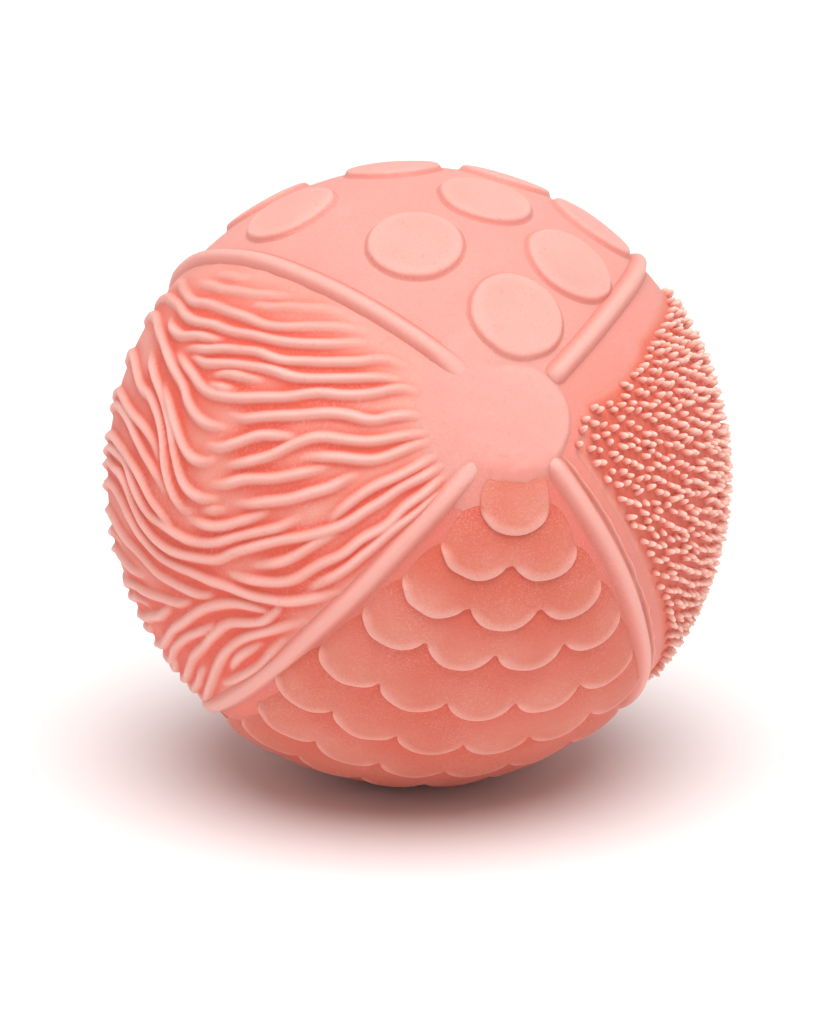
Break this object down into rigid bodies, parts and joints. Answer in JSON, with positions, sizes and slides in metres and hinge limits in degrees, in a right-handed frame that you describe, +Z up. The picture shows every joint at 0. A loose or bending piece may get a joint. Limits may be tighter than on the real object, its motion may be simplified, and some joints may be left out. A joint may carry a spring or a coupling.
{
  "type": "sensory ball",
  "caption": "Hollow soft-rubber sensory ball for a baby's hands: quarters of raised dots, wavy ridges, overlapping scales and short bristles between ribs that meet at flat pole pads.",
  "frame": {"origin": "centre of the ball, which is the middle of its box", "axes": "+Z up as the ball lies on a table; the pole axis lies in the YZ plane and its front end looks to -Y and 25 degrees up; +X is through the bristles"},
  "size_m": [0.0824, 0.0817, 0.0818],
  "materials": {
    "salmon_rubber": "matte"
  },
  "bodies": {
    "root": {"rubber_wall": "salmon_rubber", "pour_plug": "salmon_rubber", "front_pad": "salmon_rubber", "rear_pad": "salmon_rubber", "mould_seam": "salmon_rubber", "rib_bristles_dots": "salmon_rubber", "rib_dots_waves": "salmon_rubber", "rib_waves_scales": "salmon_rubber", "rib_scales_bristles": "salmon_rubber", "dot_01": "salmon_rubber", "dot_02": "salmon_rubber", "dot_03": "salmon_rubber", "dot_04": "salmon_rubber", "dot_05": "salmon_rubber", "dot_06": "salmon_rubber", "dot_07": "salmon_rubber", "dot_08": "salmon_rubber", "dot_09": "salmon_rubber", "dot_10": "salmon_rubber", "dot_11": "salmon_rubber", "dot_12": "salmon_rubber", "dot_13": "salmon_rubber", "dot_14": "salmon_rubber", "dot_15": "salmon_rubber", "dot_16": "salmon_rubber", "dot_17": "salmon_rubber", "dot_18": "salmon_rubber", "dot_19": "salmon_rubber", "scale_row_01": "salmon_rubber", "scale_row_02": "salmon_rubber", "scale_row_03": "salmon_rubber", "scale_row_04": "salmon_rubber", "scale_row_05": "salmon_rubber", "scale_row_06": "salmon_rubber", "scale_row_07": "salmon_rubber", "scale_row_08": "salmon_rubber", "scale_row_09": "salmon_rubber", "scale_row_10": "salmon_rubber", "scale_row_11": "salmon_rubber", "scale_row_12": "salmon_rubber", "scale_row_13": "salmon_rubber", "scale_row_14": "salmon_rubber", "long_wave_ridges": "salmon_rubber", "short_wave_ridges": "salmon_rubber", "bristle_bed_01": "salmon_rubber", "bristle_bed_02": "salmon_rubber", "bristle_bed_03": "salmon_rubber", "bristle_bed_04": "salmon_rubber", "bristle_bed_05": "salmon_rubber", "bristle_bed_06": "salmon_rubber", "bristle_bed_07": "salmon_rubber"}
  },
  "joints": []
}
